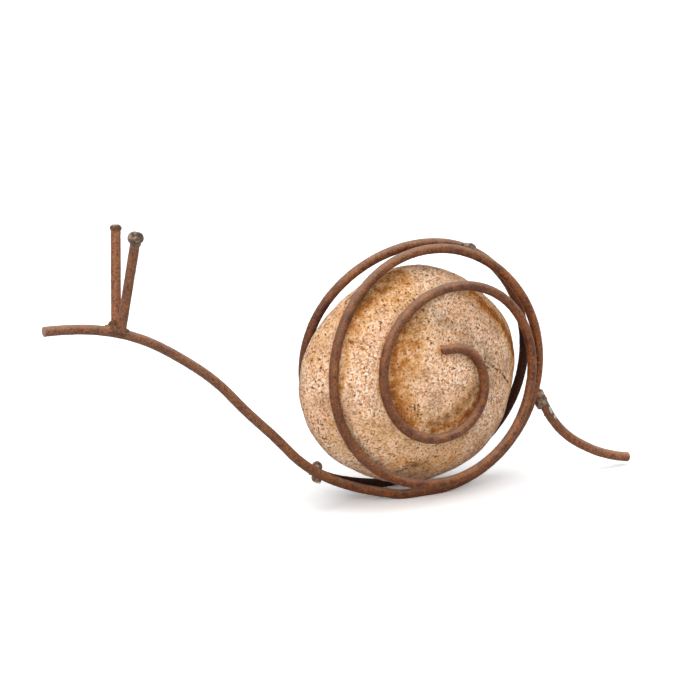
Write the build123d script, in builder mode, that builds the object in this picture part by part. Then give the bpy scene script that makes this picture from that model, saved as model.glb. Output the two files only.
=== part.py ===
"""Garden ornament: a snail whose shell is a cobble caught between two coils of bent steel rod.

The head points to -X, the coil that shows most is on the -Y side, and the snail stands on Z = 0.
All lengths are in millimetres.
"""
import os
from math import cos, pi, sin, sqrt

from build123d import *

os.makedirs("parts", exist_ok=True)

# Rod stock: one size of hot-rolled round bar for every bent piece
rod_diameter = 5.5
root_gap = 0.3
rod_radius = rod_diameter / 2
pair_depth = rod_radius + root_gap / 2

# Cobble: a water-worn ellipsoid, lying nearer to the neck than to the tail
stone_width = 136.0
stone_height = 125.4
stone_thickness = 62.0
stone_tail_gap = 11.5
stone_overhang = 8.25
seat_clearance = 0.5
half_width = stone_width / 2
half_height = stone_height / 2
half_thickness = stone_thickness / 2

# Coils: their two radii follow the cobble, with room under, over and behind it
foot_gap = 5.2
crown_gap = 11.4
floor_flat = 0.5
foot_run = 12.0
coil_reach = (stone_width - stone_overhang + stone_tail_gap + rod_radius) / 2
coil_rise = (stone_height + foot_gap + crown_gap) / 2

# Head, neck and tail
head_reach = 236.0
head_rise = 120.9
tail_reach = 132.0
tail_lift = 1.9

# Feelers and their tips
feeler_setback = 44.5
feeler_rise = 55.2
feeler_lean = 5.5
feeler_spread = 13.3
feeler_foot_share = 0.4
ball_diameter = 8.2
button_width = 6.4
button_height = 4.4

# Weld beads: half sizes along the rod, across the pair and outwards
neck_bead = (3.6, 4.6, 5.2)
crown_bead = (4.2, 2.9, 2.4)
tail_bead = (6.4, 3.6, 3.6)
feeler_bead = (6.4, 4.9, 3.4)

# Hand-bent routes. Coil shares are given at quarter turns from the foot, the last one at the cut end,
# as shares of the coil's radii and of the cobble's half thickness; 0 means as deep as the cobble asks.
front_radius_shares = (1.0, 0.975, 0.995, 0.988, 0.874, 0.873, 0.725, 0.618, 0.45, 0.282, 0.268, 0.29)
front_depth_shares = (0.22, 0.29, 0.0, 0.0, 0.71, 0.44, 0.69, 0.0, 0.0, 0.0, 0.0, 0.0)
back_radius_shares = (1.0, 0.963, 1.024, 0.97, 0.80, 0.78, 0.70, 0.60, 0.44, 0.282, 0.268, 0.29)
back_depth_shares = (0.62, 0.20, 0.0, 0.0, 0.70, 0.58, 0.74, 0.0, 0.0, 0.0, 0.0, 0.0)
end_turn_share = 0.27
quarter = pi / 2
gap_steps = 400
crown_leg_number = 1
crown_weld_share = 0.76
crown_steps = 40
crown_rounds_count = 8

# Points from the head's tip down the neck, and from the neck weld to the foot, as shares of run and rise
neck_run_shares = (1.0, 0.80, 0.585, 0.42)
neck_rise_shares = (1.0, 0.948, 0.725, 0.426)
neck_pair_shares = (0.0, 0.0, 0.0, 0.3)
foot_run_shares = (0.265, 0.12, 0.0)
foot_rise_shares = (0.158, 0.042, 0.0)
foot_spread_shares = (0.0, 0.62, 1.0)

# Tail points from the coil to the tip, as shares of the tail's run and drop
tail_run_shares = (0.0, 0.214, 0.591, 1.0)
tail_drop_shares = (0.0, 0.462, 0.822, 1.0)
tail_start_shares = (0.40, 0.0, -0.917)
tail_leg_share = 0.8
tail_cover_share = 0.2
bead_lift_share = 0.8

# Places that follow from the sizes above; the origin is under the middle of the snail's length
coil_x = (head_reach - tail_reach) / 2
foot_z = rod_radius - floor_flat
coil_z = foot_z + coil_rise
stone_x = coil_x + coil_reach - rod_radius - stone_tail_gap - half_width
stone_z = foot_z + foot_gap + half_height


def seat_depth(x: float, z: float) -> float:
    """Depth of the axis of a rod that lies on the cobble at x, z, or 0 beside the cobble."""
    across = (x - stone_x) / half_width
    up = (z - stone_z) / half_height
    inside = 1 - across**2 - up**2
    if inside <= 0:
        return 0.0
    deep = sqrt(inside)
    normal = Vector(across / half_width, deep / half_thickness, up / half_height).normalized()
    return half_thickness * deep + (rod_radius + seat_clearance) / normal.Y


def coil_point(turn: float, radius_share: float, depth: float) -> Vector:
    """Point of a coil at an angle from the foot, going up the tail side first."""
    reach = coil_reach * radius_share
    rise = coil_rise * radius_share
    return Vector(coil_x + reach * sin(turn), depth, coil_z - rise * cos(turn))


def coil_knots(radius_shares: tuple, depth_shares: tuple, side: int, splay: float) -> tuple[list, list]:
    """Points and directions of a coil; side is -1 for the front coil and 1 for the back one."""
    last = len(radius_shares) - 1
    turns = [quarter * step for step in range(last)]
    turns.append(turns[-1] + quarter * end_turn_share)
    depths = []
    for turn, radius_share, depth_share in zip(turns, radius_shares, depth_shares):
        spot = coil_point(turn, radius_share, 0)
        deepest = max(depth_share * half_thickness, seat_depth(spot.X, spot.Z), pair_depth + splay)
        depths.append(side * deepest)
    points = [coil_point(*knot) for knot in zip(turns, radius_shares, depths)]
    directions = [Vector(1, 0, 0)]
    for step in range(1, last):
        sweep_angle = turns[step + 1] - turns[step - 1]
        growth = (radius_shares[step + 1] - radius_shares[step - 1]) / sweep_angle
        drift = (depths[step + 1] - depths[step - 1]) / sweep_angle
        across = coil_reach * (growth * sin(turns[step]) + radius_shares[step] * cos(turns[step]))
        up = coil_rise * (radius_shares[step] * sin(turns[step]) - growth * cos(turns[step]))
        directions.append(Vector(across, drift, up).normalized())
    return points, directions + [mirrored_direction(points[-2], directions[-1], points[-1])]


def mirrored_direction(start: Vector, direction: Vector, end: Vector) -> Vector:
    """Direction at the end of the one arc that leaves start along direction and reaches end."""
    chord = (end - start).normalized()
    return (chord * (2 * chord.dot(direction)) - direction).normalized()


def circle_directions(points: list, first: Vector, last: Vector) -> list:
    """Directions along points, each that of the circle through a point and its two neighbours."""
    directions = [first.normalized()]
    for before, here, after in zip(points, points[1:], points[2:]):
        run_in = here - before
        run_out = after - here
        turn = run_in.normalized() * run_out.length + run_out.normalized() * run_in.length
        directions.append(turn.normalized())
    return directions + [last.normalized()]


def bend_arcs(points: list, directions: list) -> None:
    """Two tangent arcs between each pair of points, added to the line that is being built."""
    legs = zip(points, directions, points[1:], directions[1:])
    for start, leave, end, arrive in legs:
        chord = end - start
        both = leave + arrive
        turn = 2 * (1 - leave.dot(arrive))
        along = chord.dot(both)
        if (leave - arrive).length * chord.length < root_gap and chord.cross(leave).length < root_gap:
            Line(start, end)
            continue
        reach = chord.dot(chord) / (along + sqrt(along**2 + turn * chord.dot(chord)))
        first_corner = start + leave * reach
        second_corner = end - arrive * reach
        middle = (first_corner + second_corner) * 0.5
        TangentArc(start, middle, tangent=leave)
        TangentArc(middle, end, tangent=second_corner - first_corner)


def coil_leg(knots: tuple[list, list], leg: int) -> Wire:
    """The two arcs of one quarter turn of a coil."""
    points, directions = knots
    with BuildLine() as line:
        bend_arcs(points[leg : leg + 2], directions[leg : leg + 2])
    return line.wires()[0]


def crown_meeting(front_knots: tuple, back_knots: tuple) -> tuple[float, Vector, Vector, Vector]:
    """Least distance of the coils' axes below the crown; their spots and the direction at the weld."""
    front_leg = coil_leg(front_knots, crown_leg_number)
    back_leg = coil_leg(back_knots, crown_leg_number)
    shares = [step / crown_steps for step in range(crown_steps + 1)]
    least = min((front_leg @ share - back_leg @ share).length for share in shares)
    return least, front_leg @ crown_weld_share, back_leg @ crown_weld_share, front_leg % crown_weld_share


def least_self_gap(wire: Wire) -> float:
    """Least free gap between parts of one rod that lie more than half a coil apart along it."""
    spots = [wire.position_at(step / gap_steps) for step in range(gap_steps + 1)]
    apart = int(gap_steps * pi * coil_rise / wire.length)
    gaps = [
        (spots[one] - spots[other]).length
        for one in range(gap_steps + 1)
        for other in range(one + apart, gap_steps + 1)
    ]
    return min(gaps) - rod_diameter


def bead(centre: Vector, along: Vector, outward: Vector, half_sizes: tuple) -> Part:
    """A rounded weld bead, before the rods that it joins are cut out of it."""
    half_length, half_across, half_out = half_sizes
    lump = scale(Sphere(1, mode=Mode.PRIVATE), by=(half_out, half_across, half_length), mode=Mode.PRIVATE)
    return Plane(origin=centre, x_dir=-outward, z_dir=along) * lump


def run_points(run_shares: tuple, rise_shares: tuple, depths: list) -> list:
    """Points between the head and the foot, from shares of the run and rise and from depths."""
    foot_x = coil_x - foot_run
    run = head_reach - foot_run
    rows = zip(run_shares, rise_shares, depths)
    return [Vector(foot_x - run * out, depth, foot_z + head_rise * up) for out, up, depth in rows]


def foot_points(side: int, foot_depth_share: float) -> list:
    """Points from the neck weld, where the two rods lie side by side, to the foot."""
    spread = half_thickness * foot_depth_share - pair_depth
    depths = [side * (pair_depth + spread * share) for share in foot_spread_shares]
    return run_points(foot_run_shares, foot_rise_shares, depths)


# The coils are splayed just enough to come a root gap apart where they are nearest, below the crown
crown_splay = 0.0
for crown_round in range(crown_rounds_count):
    front_knots = coil_knots(front_radius_shares, front_depth_shares, -1, crown_splay)
    back_knots = coil_knots(back_radius_shares, back_depth_shares, 1, crown_splay)
    crown_least, crown_front, crown_back, crown_along = crown_meeting(front_knots, back_knots)
    crown_splay += (rod_diameter + root_gap - crown_least) / 2

# Body rod: head, neck, foot and the front coil, bent from one length
neck = run_points(neck_run_shares, neck_rise_shares, [-pair_depth * share for share in neck_pair_shares])
foot = foot_points(-1, front_depth_shares[0])
neck_directions = circle_directions(neck + foot, Vector(1, 0, 0), Vector(1, 0, 0))
front_points, front_directions = front_knots
with BuildPart() as body_rod:
    with BuildLine() as body_axis:
        bend_arcs(neck + foot + front_points, neck_directions + front_directions)
    with BuildSketch(Plane(origin=neck[0], z_dir=neck_directions[0])):
        Circle(rod_radius)
    sweep(path=body_axis.wires()[0])
    split(bisect_by=Plane.XY, keep=Keep.TOP)
body_rod.part.label = "body_rod"
export_step(body_rod.part, "parts/body_rod.step")

# Back rod: starts beside the neck, runs under the cobble and coils on its far face
back_foot = foot_points(1, back_depth_shares[0])
neck_slope = neck_directions[len(neck)]
back_start = Vector(neck_slope.X, -neck_slope.Y, neck_slope.Z)
back_foot_directions = circle_directions(back_foot, back_start, Vector(1, 0, 0))
back_points, back_directions = back_knots
with BuildPart() as back_rod:
    with BuildLine() as back_axis:
        bend_arcs(back_foot + back_points, back_foot_directions + back_directions)
    with BuildSketch(Plane(origin=back_foot[0], z_dir=back_foot_directions[0])):
        Circle(rod_radius)
    sweep(path=back_axis.wires()[0])
    split(bisect_by=Plane.XY, keep=Keep.TOP)
back_rod.part.label = "back_rod"
export_step(back_rod.part, "parts/back_rod.step")

# Tail rod: its square-cut end leans on the outside of the front coil, a root gap away
tail_leg = coil_leg(front_knots, 0)
tail_outward = Vector(0, 1, 0).cross(tail_leg % tail_leg_share).normalized()
tail_slope = Vector(*tail_start_shares).normalized()
tail_lean = rod_radius * sqrt(1 - tail_slope.dot(tail_outward) ** 2)
tail_start = tail_leg @ tail_leg_share + tail_outward * (rod_radius + root_gap + tail_lean)
tail_run = coil_x + tail_reach - tail_start.X
tail_drop = tail_start.Z - rod_radius - tail_lift
tail_points = [
    tail_start + Vector(tail_run * out, 0, -tail_drop * down)
    for out, down in zip(tail_run_shares, tail_drop_shares)
]
tail_directions = circle_directions(tail_points, tail_slope, Vector(1, 0, 0))
tail_directions[-1] = mirrored_direction(tail_points[-2], tail_directions[-2], tail_points[-1])
with BuildPart() as tail_rod:
    with BuildLine() as tail_axis:
        bend_arcs(tail_points, tail_directions)
    with BuildSketch(Plane(origin=tail_start, z_dir=tail_directions[0])):
        Circle(rod_radius)
    sweep(path=tail_axis.wires()[0])
tail_rod.part.label = "tail_rod"
export_step(tail_rod.part, "parts/tail_rod.step")

# Cobble: a unit ball drawn out to its three sizes
with BuildPart() as stone:
    Sphere(1)
    scale(by=(half_width, half_thickness, half_height))
stone.part.label = "stone"
stone.part.position = (stone_x, 0, stone_z)
export_step(stone.part, "parts/stone.step")

# Feelers: two straight rods that stand on the head, splayed to both sides
body_wire = body_axis.wires()[0]
feeler_root = body_wire.position_at(feeler_setback, position_mode=PositionMode.LENGTH)
head_slope = body_wire.tangent_at(feeler_setback, position_mode=PositionMode.LENGTH)
feeler_feet = {side: feeler_root + Vector(0, side * pair_depth, 0) for side in (-1, 1)}
feeler_ends = {
    side: feeler_root + Vector(feeler_lean, side * feeler_spread, feeler_rise) for side in (-1, 1)
}
feeler_lines = {side: feeler_ends[side] - feeler_feet[side] for side in (-1, 1)}
feeler_cut = Plane(origin=feeler_root + Vector(0, 0, rod_radius * feeler_foot_share))
with BuildPart() as left_feeler:
    with BuildSketch(Plane(origin=feeler_feet[-1], z_dir=feeler_lines[-1])):
        Circle(rod_radius)
    extrude(amount=feeler_lines[-1].length)
    add(body_rod.part, mode=Mode.SUBTRACT)
    split(bisect_by=feeler_cut, keep=Keep.TOP)
left_feeler.part.label = "left_feeler"
export_step(left_feeler.part, "parts/left_feeler.step")

with BuildPart() as right_feeler:
    with BuildSketch(Plane(origin=feeler_feet[1], z_dir=feeler_lines[1])):
        Circle(rod_radius)
    extrude(amount=feeler_lines[1].length)
    add(body_rod.part, mode=Mode.SUBTRACT)
    split(bisect_by=feeler_cut, keep=Keep.TOP)
right_feeler.part.label = "right_feeler"
export_step(right_feeler.part, "parts/right_feeler.step")

# Feeler tips: drops of weld metal, a ball on the left feeler and a low button on the right one
ball_half_sizes = (ball_diameter / 2, ball_diameter / 2, ball_diameter / 2)
with BuildPart() as left_feeler_tip:
    add(bead(feeler_ends[-1], feeler_lines[-1], Vector(1, 0, 0), ball_half_sizes))
    add(left_feeler.part, mode=Mode.SUBTRACT)
left_feeler_tip.part.label = "left_feeler_tip"
export_step(left_feeler_tip.part, "parts/left_feeler_tip.step")

button_half_sizes = (button_height / 2, button_width / 2, button_width / 2)
with BuildPart() as right_feeler_tip:
    add(bead(feeler_ends[1], feeler_lines[1], Vector(1, 0, 0), button_half_sizes))
    add(right_feeler.part, mode=Mode.SUBTRACT)
right_feeler_tip.part.label = "right_feeler_tip"
export_step(right_feeler_tip.part, "parts/right_feeler_tip.step")

# Weld at the feet of the feelers
bead_lift = rod_radius * bead_lift_share
with BuildPart() as feeler_weld:
    add(bead(feeler_root + Vector(0, 0, bead_lift), head_slope, Vector(0, 0, 1), feeler_bead))
    add([body_rod.part, left_feeler.part, right_feeler.part], mode=Mode.SUBTRACT)
feeler_weld.part.label = "feeler_weld"
export_step(feeler_weld.part, "parts/feeler_weld.step")

# Weld round the end of the back rod, where it lies beside the neck
neck_spot = Vector(foot[0].X, 0, foot[0].Z)
with BuildPart() as neck_weld:
    add(bead(neck_spot, neck_slope, neck_slope.cross(Vector(0, 1, 0)), neck_bead))
    add([body_rod.part, back_rod.part], mode=Mode.SUBTRACT)
neck_weld.part.label = "neck_weld"
export_step(neck_weld.part, "parts/neck_weld.step")

# Weld in the groove between the two coils, below the crown on the tail side
crown_outward = (crown_back - crown_front).cross(crown_along).normalized()
crown_spot = (crown_front + crown_back) * 0.5 + crown_outward * bead_lift
with BuildPart() as crown_weld:
    add(bead(crown_spot, crown_along, crown_outward, crown_bead))
    add([body_rod.part, back_rod.part], mode=Mode.SUBTRACT)
crown_weld.part.label = "crown_weld"
export_step(crown_weld.part, "parts/crown_weld.step")

# Weld round the tail's end, against the front coil
tail_spot = tail_start + tail_slope * (tail_bead[0] * tail_cover_share)
with BuildPart() as tail_weld:
    add(bead(tail_spot, tail_slope, tail_outward, tail_bead))
    add([body_rod.part, tail_rod.part], mode=Mode.SUBTRACT)
tail_weld.part.label = "tail_weld"
export_step(tail_weld.part, "parts/tail_weld.step")

print("splay of the coils at the crown", round(crown_splay, 3))
print("least gap of the body rod to itself", round(least_self_gap(body_wire), 2))
print("least gap of the back rod to itself", round(least_self_gap(back_axis.wires()[0]), 2))
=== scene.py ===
"""Dressed model of a garden snail: rusted round bar bent and welded round a cobble, on a white sweep.

The head points to -X, the coil that faces the camera is on the -Y side, and the snail stands on Z = 0.
Sizes are written in millimetres and turned to metres as the meshes are made.
"""
import logging
from dataclasses import dataclass, field, replace
from enum import Enum
from math import atan2, cos, exp, pi, radians, sin, sqrt

import bmesh
import bpy
from mathutils import Euler, Matrix, Vector, kdtree, noise


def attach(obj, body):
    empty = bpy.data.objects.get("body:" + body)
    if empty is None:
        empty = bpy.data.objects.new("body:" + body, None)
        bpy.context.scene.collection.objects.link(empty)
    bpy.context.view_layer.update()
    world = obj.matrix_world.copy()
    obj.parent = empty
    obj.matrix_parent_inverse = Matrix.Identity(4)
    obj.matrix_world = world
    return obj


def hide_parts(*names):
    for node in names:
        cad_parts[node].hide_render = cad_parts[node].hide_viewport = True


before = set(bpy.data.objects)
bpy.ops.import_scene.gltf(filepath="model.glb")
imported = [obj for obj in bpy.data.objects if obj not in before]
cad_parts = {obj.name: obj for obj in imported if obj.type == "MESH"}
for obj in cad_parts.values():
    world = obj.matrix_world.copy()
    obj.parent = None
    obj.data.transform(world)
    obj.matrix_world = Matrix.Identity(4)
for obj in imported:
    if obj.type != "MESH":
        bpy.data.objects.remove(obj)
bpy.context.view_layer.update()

MM = 0.001
QUARTER = pi / 2
BAR_RADIUS = 2.75
ROOT_GAP = 0.3
# Two bars that lie side by side leave the root gap between them
PAIR_DEPTH = BAR_RADIUS + ROOT_GAP / 2
FLOOR_LEVEL = 0.0
# Spacing of the points among which a place on a bar is sought
FINE_STEP = 0.2
AHEAD = Vector((1, 0, 0))
ACROSS = Vector((0, 1, 0))
UP = Vector((0, 0, 1))
# Sockets of a Mix node that mixes colours: its share, the colour under, the colour over, and the result
MIX_SHARE, MIX_UNDER, MIX_OVER, MIXED = 0, 6, 7, 2
LOG = logging.getLogger("snail")

Place = tuple[float, float, float]
Shares = tuple[float, ...]
Stops = tuple[tuple[float, str], ...]
Skin = tuple[tuple[float, float], ...]


class Slot(Enum):
    """Material slots of the part's record."""

    COBBLE = "cobble"
    ROD = "rusted_rod"
    WELD = "weld_metal"


class Side(Enum):
    """Side of the shell that a coil or a feeler is on."""

    FRONT = -1
    BACK = 1


class Mark(Enum):
    """What is kept as a value on the points of a bar or a weld."""

    FRESH = "fresh_rust"
    UPWARD = "facing_up"
    # Painted shade on a bar where the cobble shades it
    PAINTED_COBBLE_SHADE = "painted_cobble_shade"
    SCORCHED = "scorched"
    CUT = "cut_end"
    RUST = "rust_share"


class Stain(Enum):
    """Stains on the cobble, each kept as a value on the cobble's points."""

    RUST = "rust_wash"
    # Dirt, and in a few places painted shadow beside the bars
    DIRT_AND_SHADE = "dirt_and_shade"


class Blend(Enum):
    """How a coat lies on what is under it."""

    OVER = "MIX"
    TINT = "MULTIPLY"


def linear(code: str) -> tuple[float, float, float, float]:
    """Turn an sRGB hex colour to linear RGBA.

    Args:
        code: colour such as "#80593F".

    Returns:
        The linear colour with an alpha of 1.
    """
    shares = [int(code[place : place + 2], 16) / 255 for place in (1, 3, 5)]
    low_end = 0.04045
    values = [v / 12.92 if v <= low_end else ((v + 0.055) / 1.055) ** 2.4 for v in shares]
    return (*values, 1.0)


def put_node(tree: bpy.types.NodeTree, kind: str, inputs: dict | None = None, **settings) -> bpy.types.Node:
    """Add one node, with its settings and links.

    Args:
        tree: node tree that gets the node.
        kind: Blender's name of the node type.
        inputs: by input name or number, a value or the output socket to link from.
        settings: properties of the node; stops holds the places and hex colours of a colour ramp.

    Returns:
        The new node.
    """
    node = tree.nodes.new(kind)
    for number, (position, code) in enumerate(settings.pop("stops", ())):
        ramp = node.color_ramp.elements
        stop = ramp[number] if number < len(ramp) else ramp.new(position)
        stop.position = position
        stop.color = linear(code)
    for name, value in settings.items():
        setattr(node, name, value)
    for name, value in (inputs or {}).items():
        if isinstance(value, bpy.types.NodeSocket):
            tree.links.new(value, node.inputs[name])
        else:
            node.inputs[name].default_value = value
    return node


def per_size(millimetres: float) -> float:
    """Texture scale, on Object coordinates in metres, of a pattern of that size."""
    return 1 / (millimetres * MM)


def new_tree(name: str) -> tuple[bpy.types.Material, bpy.types.NodeTree]:
    """Start a material with an empty node tree.

    Args:
        name: common name of the real material.

    Returns:
        The material and its tree.
    """
    material = bpy.data.materials.new(name)
    material.use_nodes = True
    material.node_tree.nodes.clear()
    return material, material.node_tree


@dataclass(frozen=True)
class Cloud:
    """A cloudy pattern: its real size in millimetres, its detail and how rough that detail is."""

    size_mm: float
    detail: float
    roughness: float

    def inputs(self, place: bpy.types.NodeSocket) -> dict:
        """What a noise node takes to draw the pattern, from the socket with the place."""
        return {
            "Vector": place,
            "Scale": per_size(self.size_mm),
            "Detail": self.detail,
            "Roughness": self.roughness,
        }


@dataclass(frozen=True)
class Span:
    """How a share follows a value: where it starts and ends, and what it is at its end and its start."""

    start: float = 0.0
    end: float = 1.0
    at_end: float = 1.0
    at_start: float = 0.0

    def inputs(self, value: bpy.types.NodeSocket) -> dict:
        """What a range node takes to turn the value of a socket to the share."""
        return {
            "Value": value,
            "From Min": self.start,
            "From Max": self.end,
            "To Min": self.at_start,
            "To Max": self.at_end,
        }


@dataclass(frozen=True)
class Grit:
    """Fine relief of a finish: its strength, and its height in millimetres."""

    strength: float
    height_mm: float

    def inputs(self, height: bpy.types.NodeSocket) -> dict:
        """What a bump node takes to raise the relief."""
        return {"Height": height, "Strength": self.strength, "Distance": self.height_mm * MM}


def close_tree(
    tree: bpy.types.NodeTree, tone: bpy.types.NodeSocket, coats: tuple, relief: dict, inputs: dict
) -> None:
    """Lay the coats of a finish over its ground tone, raise its relief and close its tree.

    Args:
        tree: node tree of the finish.
        tone: socket with the ground tone.
        coats: rows of a coat's share, its colour or the socket with it, and how it lies.
        relief: what the bump node takes.
        inputs: what the shader takes besides its colour and its relief.
    """
    for share, coat, blend in coats:
        sockets = {MIX_SHARE: share, MIX_UNDER: tone, MIX_OVER: coat}
        mix = put_node(tree, "ShaderNodeMix", sockets, data_type="RGBA", blend_type=blend.value)
        tone = mix.outputs[MIXED]
    bump = put_node(tree, "ShaderNodeBump", relief)
    surface = {"Base Color": tone, "Normal": bump.outputs["Normal"]} | inputs
    shader = put_node(tree, "ShaderNodeBsdfPrincipled", surface)
    put_node(tree, "ShaderNodeOutputMaterial", {"Surface": shader.outputs["BSDF"]})


@dataclass(frozen=True)
class RustedBar:
    """Hot-rolled mild steel bar left outdoors until its mill skin had turned to rust."""

    name: str = "rusted_mild_steel_bar"
    skin_cloud: Cloud = Cloud(9.0, 4.0, 0.6)
    bloom_cloud: Cloud = Cloud(3.2, 4.0, 0.75)
    wet_cloud: Cloud = Cloud(42.0, 1.0, 0.5)
    scuff_cloud: Cloud = Cloud(2.2, 2.0, 0.6)
    grain_cloud: Cloud = Cloud(1.2, 2.0, 0.7)
    # In metres, as Object coordinates are
    shell_centre: Place = (0.052, 0.0, 0.073)
    open_span: Span = Span(0.082, 0.125, 0.31)
    wet_span: Span = Span(0.38, 0.62, 0.95, 0.25)
    bloom_span: Span = Span(0.50, 0.70)
    scuff_span: Span = Span(0.60, 0.76, 0.45)
    # Dust with a painted highlight lightens the tops, and painted shade darkens the undersides
    dust_and_highlight_span: Span = Span(0.25, 1.0, 0.34)
    painted_underside_span: Span = Span(-1.0, 0.7)
    # Roughness where the bar gets painted shade from the cobble
    cobble_shade_roughness: Span = Span(at_start=0.5, at_end=0.9)
    fresh_lift: float = 0.16
    gloss: float = 0.28
    relief: Grit = Grit(0.7, 0.3)
    skin: Stops = ((0.30, "#582D15"), (0.46, "#7F4B2A"), (0.58, "#905D37"), (0.72, "#A9682F"))
    grain: Stops = ((0.30, "#80766F"), (0.48, "#D4CFCB"), (0.64, "#FFFFFF"))
    # Painted shade, darker on the undersides
    painted_underside_shade: Stops = ((0.0, "#C8C0BA"), (0.55, "#E0DAD6"), (1.0, "#FFFFFF"))
    bloom: str = "#B66316"
    weathered: str = "#B0856A"
    scuff: str = "#A98470"
    # Dust, also a painted highlight on the tops
    dust_and_highlight: str = "#C4A690"
    # Painted shade where the cobble shades the bar
    painted_cobble_shade: str = "#7D6254"
    scorch: str = "#453C34"
    cut: str = "#8C6E5E"

    def make(self) -> bpy.types.Material:
        """Build the node tree of the bar's skin.

        Returns:
            The finished material.
        """
        # To the eye a matt, sandy brown with orange blooms, with painted shade below and dust with a painted
        # highlight on top.
        # Real rust is finer than this grain, which is drawn as coarse as it needs to show.
        material, tree = new_tree(self.name)
        place = put_node(tree, "ShaderNodeTexCoord").outputs["Object"]
        clouds = (self.skin_cloud, self.bloom_cloud, self.wet_cloud, self.scuff_cloud, self.grain_cloud)
        skin, bloom, wet, scuff, grain = (
            put_node(tree, "ShaderNodeTexNoise", cloud.inputs(place)).outputs["Fac"] for cloud in clouds
        )
        marks = (Mark.FRESH, Mark.UPWARD, Mark.PAINTED_COBBLE_SHADE, Mark.SCORCHED, Mark.CUT)
        fresh, upward, painted_cobble_shade, scorched, cut = (
            put_node(tree, "ShaderNodeAttribute", attribute_name=mark.value).outputs["Fac"] for mark in marks
        )
        # Orange blooms, more of them where the skin stays wet and where the rust is fresh
        wet_share = put_node(tree, "ShaderNodeMapRange", self.wet_span.inputs(wet)).outputs["Result"]
        limit = put_node(
            tree, "ShaderNodeMath", {0: wet_share, 1: fresh}, operation="ADD", use_clamp=True
        ).outputs[0]
        lifted = put_node(
            tree, "ShaderNodeMath", {0: fresh, 1: self.fresh_lift, 2: bloom}, operation="MULTIPLY_ADD"
        ).outputs[0]
        away = put_node(
            tree, "ShaderNodeVectorMath", {0: place, 1: self.shell_centre}, operation="DISTANCE"
        ).outputs["Value"]
        bloom_share, open_share, scuff_share, dust_and_highlight_share, painted_underside_share, matt = (
            put_node(tree, "ShaderNodeMapRange", inputs).outputs["Result"]
            for inputs in (
                self.bloom_span.inputs(lifted) | {"To Max": limit},
                self.open_span.inputs(away),
                self.scuff_span.inputs(scuff),
                self.dust_and_highlight_span.inputs(upward),
                self.painted_underside_span.inputs(upward),
                self.cobble_shade_roughness.inputs(painted_cobble_shade),
            )
        )
        tone, grain_tone, painted_underside_tone = (
            put_node(tree, "ShaderNodeValToRGB", {"Fac": value}, stops=stops).outputs["Color"]
            for value, stops in ((skin, self.skin), (grain, self.grain), (painted_underside_share, self.painted_underside_shade))
        )
        coats = (
            (bloom_share, linear(self.bloom), Blend.OVER),
            # Paler and drier away from the cobble, on the head, neck, feelers and tail
            (open_share, linear(self.weathered), Blend.OVER),
            (scuff_share, linear(self.scuff), Blend.OVER),
            # Fine grain of the rust, dark in its pits
            (1.0, grain_tone, Blend.TINT),
            # Dust and a painted highlight lighten the tops, and painted shade darkens the undersides
            (dust_and_highlight_share, linear(self.dust_and_highlight), Blend.OVER),
            (1.0, painted_underside_tone, Blend.TINT),
            # Painted shade, darker where the cobble shades the bar
            (painted_cobble_shade, linear(self.painted_cobble_shade), Blend.TINT),
            # Grey and scorched beside the tail's weld
            (scorched, linear(self.scorch), Blend.OVER),
            # A square-cut end shows paler, newer metal
            (cut, linear(self.cut), Blend.OVER),
        )
        inputs = {"Roughness": matt, "Specular IOR Level": self.gloss}
        close_tree(tree, tone, coats, self.relief.inputs(grain), inputs)
        return material


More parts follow.
